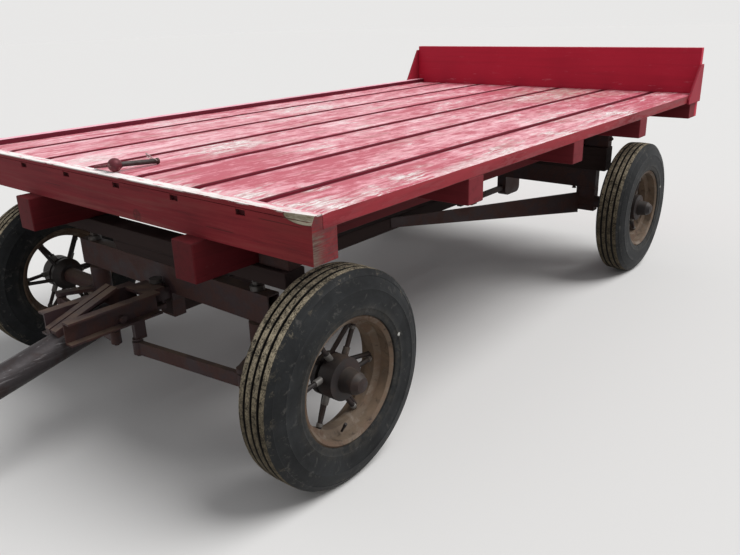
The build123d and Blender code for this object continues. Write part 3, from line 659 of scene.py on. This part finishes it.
MATS = {
    "deck": deck_paint("deck_paint"),
    "board": painted_wood(
        "board_paint", "y", (0.48, 0.016, 0.046), (0.63, 0.025, 0.062), (0.66, 0.14, 0.16),
        fade=1.1, wear=-0.16, crack=0.08, rough=0.55, extra=board_marks, lines=0.2),
    "gusset": painted_wood(
        "gusset_paint", "z", (0.31, 0.017, 0.036), (0.40, 0.028, 0.052), (0.50, 0.20, 0.22),
        fade=0.9, wear=0.0, crack=0.15, rough=0.6, lines=0.3),
    "rail": painted_wood(
        "rail_paint", "x", (0.085, 0.004, 0.014), (0.130, 0.008, 0.022), (0.30, 0.10, 0.11),
        fade=0.8, wear=-0.1, crack=0.25, rough=0.6, extra=rail_marks),
    "header": painted_wood(
        "header_paint", "y", (0.165, 0.010, 0.016), (0.275, 0.024, 0.034), (0.34, 0.13, 0.12),
        fade=1.1, wear=0.0, crack=0.9, rough=0.7, extra=header_marks),
    "frame_y": painted_wood(
        "bearer_paint", "y", (0.145, 0.014, 0.020), (0.235, 0.028, 0.038), (0.30, 0.12, 0.11),
        fade=0.8, wear=-0.05, crack=0.4, rough=0.7),
    "frame_x": painted_wood(
        "sill_paint", "x", (0.080, 0.0045, 0.007), (0.130, 0.008, 0.013), (0.22, 0.08, 0.07),
        fade=0.8, wear=-0.05, crack=0.4, rough=0.7),
    "timber_y": painted_wood("bolster_timber", "y", **TIMBER),
    "timber_x": painted_wood("reach_timber", "x", **TIMBER),
    "gear": worn_metal("gear_steel", GEAR, GEAR_RUST, SCUFFED, rust_amount=0.6,
                       bright_amount=0.15, rough=0.62, dust=(SAND, 0.25)),
    "bare": worn_metal(
        "bare_steel", (0.085, 0.078, 0.074), (0.050, 0.032, 0.026), (0.45, 0.42, 0.41),
        rust_amount=0.5, bright_amount=0.5, rough=0.45, metallic=0.4),
    "pin": worn_metal(
        "pin_steel", (0.050, 0.040, 0.038), (0.030, 0.018, 0.016), (0.36, 0.32, 0.31),
        rust_amount=0.5, bright_amount=0.45, rough=0.5, metallic=0.2, extra=pin_marks),
    "tube": worn_metal(
        "tongue_steel", (0.038, 0.032, 0.034), (0.032, 0.021, 0.020), (0.26, 0.25, 0.25),
        rust_amount=0.4, bright_amount=0.25, rough=0.5, metallic=0.3, extra=tube_marks),
    "rim": worn_metal(
        "rim_steel", (0.125, 0.090, 0.064), (0.092, 0.052, 0.034), (0.33, 0.28, 0.23),
        rust_amount=0.5, bright_amount=0.3, rough=0.66, dust=(SAND, 0.2), extra=rim_marks),
    "centre": worn_metal(
        "spoke_steel", (0.021, 0.0165, 0.0165), (0.034, 0.020, 0.017), (0.22, 0.20, 0.18),
        rust_amount=0.5, bright_amount=0.25, rough=0.58, metallic=0.1, dust=(SAND, 0.09)),
    "socket": worn_metal(
        "socket_steel", (0.17, 0.16, 0.15), (0.08, 0.055, 0.04), (0.48, 0.46, 0.44),
        rust_amount=0.35, bright_amount=0.5, rough=0.5, metallic=0.3),
    "wire": worn_metal(
        "wire_steel", (0.55, 0.53, 0.52), (0.30, 0.22, 0.18), (0.75, 0.74, 0.73),
        rust_amount=0.3, bright_amount=0.4, rough=0.4, metallic=0.5),
    "tyre": tyre_rubber("tyre_rubber"),
}

# look of each node that isn't plain gear steel, then the looks of the wheels' parts
LOOKS = {
    "deck_planks": "deck", "front_header": "header", "cross_bearers": "frame_y",
    "sills": "frame_x", "side_rail": "rail", "headboard": "board",
    "headboard_gussets": "gusset", "front_rocker": "timber_y", "front_bolster": "timber_y",
    "rear_bolster": "timber_y", "reach_pole": "timber_x", "kingpins": "bare",
    "swivel_pin": "bare", "tongue_tube": "tube", "hitch_pin": "pin",
}
WHEEL_LOOKS = (("tyre_", "tyre"), ("rim_", "rim"), ("wheel_centre_", "centre"))


def look_of(node):
    """Material of a node."""
    if node in LOOKS:
        return MATS[LOOKS[node]]
    for start, name in WHEEL_LOOKS:
        if node.startswith(start):
            return MATS[name]
    return MATS["gear"]


def paint(obj, material):
    obj.data.materials.clear()
    obj.data.materials.append(material)


def body_of(node):
    """Body that a node moves with."""
    for body, nodes in frame["record"]["behaviour"]["bodies"].items():
        if node in nodes:
            return body


def add_mesh(name, bm, body, material, smooth=30, at=None):
    """One piece that rides on a body; edges sharper than the smooth angle stay crisp."""
    mesh = bpy.data.meshes.new(name)
    bmesh.ops.recalc_face_normals(bm, faces=bm.faces)
    bm.normal_update()
    bm.to_mesh(mesh)
    bm.free()
    for polygon in mesh.polygons:
        polygon.use_smooth = True
    mesh.set_sharp_from_angle(angle=math.radians(smooth))
    mesh.materials.append(material)
    obj = bpy.data.objects.new(name, mesh)
    scene.collection.objects.link(obj)
    if at is not None:
        obj.matrix_world = at
    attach(obj, body)
    return obj


def ease(obj, width):
    """Ease a node's sharp edges without a change to its own mesh."""
    weld = obj.modifiers.new("weld", "WELD")
    weld.merge_threshold = 1e-5
    flat = obj.modifiers.new("flat", "DECIMATE")
    flat.decimate_type = "DISSOLVE"
    flat.angle_limit = math.radians(1.5)
    bevel = obj.modifiers.new("eased", "BEVEL")
    bevel.width = width
    bevel.segments = 2
    bevel.limit_method = "ANGLE"
    bevel.angle_limit = math.radians(35)
    even = obj.modifiers.new("even", "WEIGHTED_NORMAL")
    even.keep_sharp = True


# width of the eased edges, by node
EASED = {
    "front_header": 0.0025, "cross_bearers": 0.004, "sills": 0.005, "side_rail": 0.003,
    "headboard": 0.004, "headboard_gussets": 0.002, "front_rocker": 0.003,
    "front_bolster": 0.005, "rear_bolster": 0.005, "bolster_stakes": 0.004,
    "reach_pole": 0.005, "front_axle_upper": 0.002, "front_axle_lower": 0.002,
    "rear_axle_beam": 0.002, "tongue_straps": 0.0015, "rear_hounds": 0.0015,
    "reach_bracket": 0.002,
}
NODE_SMOOTH = 32
for name, obj in NODES.items():
    paint(obj, look_of(name))
    for polygon in obj.data.polygons:
        polygon.use_smooth = True
    obj.data.set_sharp_from_angle(angle=math.radians(NODE_SMOOTH))
    if name in EASED:
        ease(obj, EASED[name])


def wobble(x, y, z, size, amount):
    """Smooth noise at a place, between minus and plus the amount."""
    return noise.noise(Vector((x, y, z)) * size) * amount


def skin(bm, rings, closed=False):
    """Faces between rings of the same count; closed rings end in themselves, others in caps."""
    count = len(rings[0])
    following = rings[1:] + rings[:1] if closed else rings[1:]
    for a, b in zip(rings, following):
        for j in range(count):
            k = (j + 1) % count
            bm.faces.new((a[j], b[j], b[k], a[k]))
    if not closed:
        bm.faces.new(rings[0])
        bm.faces.new(list(reversed(rings[-1])))


# the planks: stations along and points across, the eased edge, and how far the top is worn
PLANK_STEPS, PLANK_POINTS = 120, 7
PLANK_EASE = 0.0045
PLANK_WEAR, PLANK_HOLLOW = 0.0008, 0.0011
PLANK_ROUND_DROP, PLANK_SIDE_DROP, PLANK_END_DROP = 0.0028, 0.0078, 0.0022
# how far the worn long edges of the inner planks stand back from the sawn ones
PLANK_INSET = 0.006
# the outermost edges lie beyond this and stay in place
OUTER_EDGE_Y = 0.99


def plank_mesh(bm, lo, hi, seed):
    """One weathered plank along X: wavering rounded edges, a slightly hollow top, worn ends."""
    rings = []
    for i in range(PLANK_STEPS + 1):
        x = lo.x + (hi.x - lo.x) * i / PLANK_STEPS
        left = hi.y - abs(wobble(x, seed, 0, 5, 0.0022)) - abs(wobble(x, seed, 3, 31, 0.0012))
        right = lo.y + abs(wobble(x, seed, 7, 5, 0.0022)) + abs(wobble(x, seed, 9, 31, 0.0012))
        left -= PLANK_INSET if hi.y < OUTER_EDGE_Y else 0.0
        right += PLANK_INSET if lo.y > -OUTER_EDGE_Y else 0.0
        at_end = i in (0, PLANK_STEPS)
        inwards = 1 if i == 0 else -1
        drop = PLANK_END_DROP if at_end else 0.0

        def top(y):
            dish = PLANK_HOLLOW * math.sin(math.pi * (y - lo.y) / (hi.y - lo.y))
            uneven = abs(wobble(x, y * 6, seed, 3, 0.0006))
            return y, hi.z - PLANK_WEAR - dish - uneven - drop

        inner_left, inner_right = left - PLANK_EASE, right + PLANK_EASE
        span = right + PLANK_EASE - left + PLANK_EASE
        profile = [(left, lo.z), (left, hi.z - PLANK_SIDE_DROP),
                   (left - 0.25 * PLANK_EASE, hi.z - PLANK_ROUND_DROP - drop), top(inner_left)]
        for k in range(1, PLANK_POINTS):
            profile.append(top(inner_left + span * k / PLANK_POINTS))
        profile += [top(inner_right), (right + 0.25 * PLANK_EASE, hi.z - PLANK_ROUND_DROP - drop),
                    (right, hi.z - PLANK_SIDE_DROP), (right, lo.z)]
        ring = []
        for y, z in profile:
            pull = drop + abs(wobble(x, y * 9, seed, 8, 0.0020)) if at_end else 0.0
            ring.append(bm.verts.new((x + inwards * pull, y, z)))
        rings.append(ring)
    skin(bm, rings)


def solids_of(node):
    """Corners of each separate solid in a node, from its own mesh."""
    bm = bmesh.new()
    bm.from_mesh(NODES[node].data)
    bmesh.ops.remove_doubles(bm, verts=bm.verts, dist=1e-5)
    left = set(bm.verts)
    found = []
    while left:
        group = [left.pop()]
        for vert in group:
            for e in vert.link_edges:
                other = e.other_vert(vert)
                if other in left:
                    left.discard(other)
                    group.append(other)
        lo = Vector([min(v.co[k] for v in group) for k in range(3)])
        hi = Vector([max(v.co[k] for v in group) for k in range(3)])
        found.append((lo, hi))
    bm.free()
    return found


bm = bmesh.new()
for number, (lo, hi) in enumerate(sorted(solids_of("deck_planks"), key=lambda c: c[0].y)):
    plank_mesh(bm, lo, hi, 11.0 * number + 1.3)
planks = add_mesh("weathered_planks", bm, body_of("deck_planks"), MATS["deck"], 35)
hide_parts("deck_planks")


def round_bar(bm, start, end, radius, sides, ease=0.0):
    """Closed round bar from start to end, with eased rims."""
    line = (end - start).normalized()
    across = line.orthogonal().normalized()
    third = line.cross(across)
    stations = [(start, radius), (end, radius)]
    if ease:
        stations = [(start, radius - ease), (start + line * ease, radius),
                    (end - line * ease, radius), (end, radius - ease)]
    rings = []
    for place, r in stations:
        ring = []
        for k in range(sides):
            a = 2 * math.pi * k / sides
            outwards = across * (r * math.cos(a)) + third * (r * math.sin(a))
            ring.append(bm.verts.new(place + outwards))
        rings.append(ring)
    skin(bm, rings)


def hex_bolt(bm, place, direction, across):
    """Hexagon nut with a washer and the end of its bolt, standing on a face."""
    tall, stem = across * 0.45, across * 0.35
    direction = Vector(direction).normalized()
    place = Vector(place)
    # each row: start and end along the direction, radius, sides, eased rim
    for start, end, radius, sides, rim in (
            (-0.001, 0.002, across * 0.72, 20, 0.0006),
            (0.0015, 0.002 + tall, across * 0.577, 6, 0.0009),
            (tall, tall + stem, across * 0.30, 14, 0.0008)):
        round_bar(bm, place + direction * start, place + direction * end, radius, sides, rim)


def bolts(name, body, places, material="gear"):
    """Bolts of one body as one piece; columns: place, direction, width across the flats."""
    bm = bmesh.new()
    for place, direction, across in places:
        hex_bolt(bm, place, direction, across)
    return add_mesh(name, bm, body, MATS[material])


# sockets where the outer spokes leave the hub and enter the rim: radii and rows across the wheel,
# angle of the first spoke at both ends, and stretches along the spoke from either end
HUB_ROOT, HUB_ROW, RIM_ROW, WELL = 0.060, -0.004, -0.002, 0.1785
HUB_TURN, RIM_TURN = 14, 2
HUB_SOCKET = (0.008, 0.040, 0.0115)
RIM_SOCKET = (0.020, 0.008, 0.0105)
# valve stem and its cap; columns: radius and row at the start, the same at the end, thickness
VALVE = (((0.1870, 0.028), (0.1640, 0.040), 0.0042), ((0.1665, 0.0387), (0.1530, 0.0457), 0.0058))
VALVE_TURN = {"front_left": 6, "front_right": 140, "rear_left": 60, "rear_right": 250}
for corner in CORNERS:
    out = 1 if corner.endswith("left") else -1
    lo, hi = box("tyre_" + corner)
    middle = (lo + hi) / 2
    bm = bmesh.new()
    for k in range(6):
        a = math.radians(60 * k + HUB_TURN)
        b = math.radians(60 * k + RIM_TURN)
        root = middle + Vector((HUB_ROOT * math.cos(a), out * HUB_ROW, HUB_ROOT * math.sin(a)))
        tip = middle + Vector((WELL * math.cos(b), out * RIM_ROW, WELL * math.sin(b)))
        line = (tip - root).normalized()
        start, end, radius = HUB_SOCKET
        round_bar(bm, root + line * start, root + line * end, radius, 24, 0.0012)
        start, end, radius = RIM_SOCKET
        round_bar(bm, tip - line * start, tip - line * end, radius, 24, 0.0012)
    add_mesh("sockets_" + corner, bm, "wheel_" + corner, MATS["socket"])
    bm = bmesh.new()
    turn_by = math.radians(VALVE_TURN[corner])
    for start, end, radius in VALVE:
        ends = []
        for reach, row in (start, end):
            place = (reach * math.sin(turn_by), out * row, -reach * math.cos(turn_by))
            ends.append(middle + Vector(place))
        round_bar(bm, ends[0], ends[1], radius, 14, 0.0008)
    add_mesh("valve_" + corner, bm, "wheel_" + corner, MATS["centre"])


def at_front(x, y, z):
    """A point given by its distance ahead of the header's front face."""
    return Vector((FRONT_FACE_X + x, y, z))


# wood left in the header's pockets; columns: place across, how far it hangs down and stands up
POCKETS = (
    (-0.878, 0.0070, 0.0050), (-0.556, 0.0050, 0.0022), (-0.237, 0.0050, 0.0020),
    (0.088, 0.0048, 0.0015), (0.409, 0.0048, 0.0015), (0.720, 0.0045, 0.0015),
)
POCKET_TOP, POCKET_FLOOR = 0.9472, 0.9258
POCKET_HALF, POCKET_FRONT, POCKET_BACK = 0.0202, 0.0009, 0.0118
POCKET_STEPS = 10


def pocket_wood(bm, y, low, high, ragged_low):
    """A strip of wood in a pocket, just behind the front face, with one ragged edge."""
    front, back = behind(POCKET_FRONT), behind(POCKET_BACK)
    rings = []
    for i in range(POCKET_STEPS + 1):
        at = y - POCKET_HALF + 2 * POCKET_HALF * i / POCKET_STEPS
        wave = abs(wobble(at * 7, low, 3.1, 23, 0.0034))
        a, b = (low + wave, high) if ragged_low else (low, high - wave)
        corners = ((front, at, a), (front, at, b), (back, at, b), (back, at, a))
        rings.append([bm.verts.new(co) for co in corners])
    skin(bm, rings)


bm = bmesh.new()
for y, hanging, standing in POCKETS:
    pocket_wood(bm, y, POCKET_TOP - hanging, POCKET_TOP, True)
    pocket_wood(bm, y, POCKET_FLOOR, POCKET_FLOOR + standing, False)
add_mesh("header_pocket_wood", bm, body_of("front_header"), MATS["header"])

# nuts and bolts
FRONT_AXLE_X, REAR_AXLE_X, HOUND_X = -0.217, -2.764, -2.700
KINGPIN_Y, KINGPIN_TOP = 0.51, 0.603
STAKE_Y, STAKE_BOLT_Z = 0.700, 0.742
HOUND_Y, HOUND_TOP = 0.530, 0.450
bolts("kingpin_nuts", body_of("kingpins"), [
    (at_front(FRONT_AXLE_X, y, KINGPIN_TOP), (0, 0, 1), 0.030) for y in (KINGPIN_Y, -KINGPIN_Y)
], "bare")
bolts("stake_bolts", body_of("bolster_stakes"), [
    (at_front(x, out * STAKE_Y, STAKE_BOLT_Z), (0, out, 0), 0.020)
    for x in (FRONT_AXLE_X, REAR_AXLE_X) for out in (1, -1)
])
bolts("hound_bolts", body_of("rear_hounds"), [
    (at_front(HOUND_X, out * HOUND_Y, HOUND_TOP), (0, 0, 1), 0.018) for out in (1, -1)
])

# bent wire and collars of the loose pin, by points along them and thickness
WIRE = (
    (-0.2050, 0.040, 0.980), (-0.2046, 0.024, 0.984), (-0.2030, 0.004, 0.983),
    (-0.1960, -0.008, 0.992), (-0.1860, 0.004, 1.006), (-0.1890, 0.016, 1.000),
    (-0.2000, 0.022, 0.987),
)
WIRE_R = 0.0017
COLLARS = (
    ((-0.2225, 0.0220, 0.9740), (-0.2140, 0.0218, 0.9740), 0.0112),
    ((-0.0740, 0.0186, 0.9853), (-0.0680, 0.0184, 0.9857), 0.0118),
)
bm = bmesh.new()
for start, end in zip(WIRE[:-1], WIRE[1:]):
    round_bar(bm, at_front(*start), at_front(*end), WIRE_R, 8)
add_mesh("hitch_pin_cotter", bm, body_of("hitch_pin"), MATS["wire"], 60)
bm = bmesh.new()
for start, end, radius in COLLARS:
    round_bar(bm, at_front(*start), at_front(*end), radius, 24, 0.001)
add_mesh("hitch_pin_collars", bm, body_of("hitch_pin"), MATS["gear"])

# the tyre: its ribs across the tread, the ease of their edges, and both walls as radii with
# distances across
RIBS = ((-0.0529, -0.0335), (-0.0239, -0.0045), (0.0045, 0.0239), (0.0335, 0.0529))
RIB_EASE_DOWN, RIB_EASE_IN = 0.0010, 0.0012
GROOVE_DEPTH, GROOVE_IN = 0.0088, 0.0015
SIDEWALL = (
    (0.2175, 0.0712), (0.2225, 0.0738), (0.2300, 0.0746), (0.2360, 0.0752), (0.2400, 0.0778),
    (0.2440, 0.0780), (0.2480, 0.0768), (0.2640, 0.0786), (0.2850, 0.0786), (0.2990, 0.0780),
    (0.3015, 0.0790), (0.3040, 0.0774), (0.3160, 0.0752), (0.3300, 0.0706), (0.3400, 0.0664),
    (0.3425, 0.0668), (0.3450, 0.0640), (0.3530, 0.0592), (0.3580, 0.0556), (0.3612, 0.0538),
)
INNER_WALL = (
    (0.2160, 0.0650), (0.2080, 0.0440), (0.2400, 0.0620), (0.2800, 0.0660), (0.3180, 0.0580),
    (0.3440, 0.0400),
)
TYRE_STEPS = 160
# radius beyond which the tread is worn unevenly
WORN_FROM_R = 0.345


def tyre_profile():
    """Closed section of the tyre: radii, and distances across from its middle plane."""
    crown = []
    for k, (a, b) in enumerate(RIBS):
        top_a = TYRE_R - CROWN * a * a
        top_b = TYRE_R - CROWN * b * b
        if k > 0:
            crown.append((top_a - GROOVE_DEPTH, a - GROOVE_IN))
        crown += [(top_a - RIB_EASE_DOWN, a), (top_a, a + RIB_EASE_IN),
                  (top_b, b - RIB_EASE_IN), (top_b - RIB_EASE_DOWN, b)]
        if k < len(RIBS) - 1:
            crown.append((top_b - GROOVE_DEPTH, b + GROOVE_IN))
    left = [(r, -y) for r, y in SIDEWALL]
    inner_left = [(r, -y) for r, y in reversed(INNER_WALL)]
    return left + crown + list(reversed(SIDEWALL)) + list(INNER_WALL) + inner_left


def tyre_mesh():
    """Four-rib tyre about the Y axis, centre at the origin, outwards along +Y."""
    profile = tyre_profile()
    bm = bmesh.new()
    rings = []
    for i in range(TYRE_STEPS):
        a = 2 * math.pi * i / TYRE_STEPS
        ring = []
        for r, y in profile:
            worn = 0.0
            if r > WORN_FROM_R:
                worn = abs(wobble(math.sin(a) * 6, math.cos(a) * 6, y * 40, 1.7, 0.0009))
            ring.append(bm.verts.new(((r - worn) * math.sin(a), y, -(r - worn) * math.cos(a))))
        rings.append(ring)
    skin(bm, rings, closed=True)
    return bm


# degrees by which each tyre's wear is turned about its axle
TYRE_TURN = {"front_left": 20, "front_right": 200, "rear_left": 75, "rear_right": 130}
for corner in CORNERS:
    node = "tyre_" + corner
    lo, hi = box(node)
    flip = Matrix.Rotation(0 if corner.endswith("left") else math.pi, 4, "Z")
    bm = tyre_mesh()
    bm.transform(flip @ Matrix.Rotation(math.radians(TYRE_TURN[corner]), 4, "Y"))
    piece = add_mesh("ribbed_" + node, bm, "wheel_" + corner, MATS["tyre"], 28,
                     Matrix.Translation((lo + hi) / 2))
    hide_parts(node)

# pale floor under one broad soft light from behind the wagon's left, with an even sky as fill
SKY_FILL = (0.97, 0.98, 1.0)
SKY_STRENGTH = 0.42
KEY_STRENGTH = 2.7
KEY_SPREAD = 38
KEY_HEIGHT = math.radians(56)
KEY_TURN = math.radians(128)
FLOOR_SEEN = (0.72, 0.712, 0.70)
FLOOR_BOUNCE = (0.34, 0.32, 0.29)
FLOOR_HALF = 60
SKY_SEEN = (0.808, 0.802, 0.795)

floor_bm = bmesh.new()
bmesh.ops.create_grid(floor_bm, x_segments=1, y_segments=1, size=FLOOR_HALF)
floor_mesh = bpy.data.meshes.new("floor")
floor_bm.to_mesh(floor_mesh)
floor_bm.free()
floor = bpy.data.objects.new("floor", floor_mesh)
scene.collection.objects.link(floor)


def seen_ray(tree):
    """1 for the rays that show a surface to the eye, straight or by way of gloss and glass."""
    path = tree.nodes.new("ShaderNodeLightPath")
    seen = path.outputs["Is Camera Ray"]
    for ray in ("Is Glossy Ray", "Is Transmission Ray"):
        either = tree.nodes.new("ShaderNodeMath")
        either.operation = "MAXIMUM"
        tree.links.new(seen, either.inputs[0])
        tree.links.new(path.outputs[ray], either.inputs[1])
        seen = either.outputs[0]
    return seen


floor_look = Shade("floor_paint", rough=0.95, specular=0.1)
floor_look.finish(floor_look.mix(seen_ray(floor_look.tree), FLOOR_BOUNCE, FLOOR_SEEN))
floor_mesh.materials.append(floor_look.material)

world = bpy.data.worlds.new("studio")
world.use_nodes = True
scene.world = world
sky = world.node_tree.nodes["Background"]
sky.inputs[0].default_value = (*SKY_FILL, 1)
sky.inputs[1].default_value = SKY_STRENGTH
backdrop = world.node_tree.nodes.new("ShaderNodeBackground")
backdrop.inputs[0].default_value = (*SKY_SEEN, 1)
choice = world.node_tree.nodes.new("ShaderNodeMixShader")
world.node_tree.links.new(seen_ray(world.node_tree), choice.inputs[0])
world.node_tree.links.new(sky.outputs[0], choice.inputs[1])
world.node_tree.links.new(backdrop.outputs[0], choice.inputs[2])
surface = world.node_tree.nodes["World Output"].inputs["Surface"]
world.node_tree.links.new(choice.outputs[0], surface)

sun_data = bpy.data.lights.new("key", "SUN")
sun_data.energy = KEY_STRENGTH
sun_data.angle = math.radians(KEY_SPREAD)
sun = bpy.data.objects.new("key", sun_data)
sun.rotation_euler = direction(KEY_TURN, KEY_HEIGHT).to_track_quat("Z", "Y").to_euler()
scene.collection.objects.link(sun)
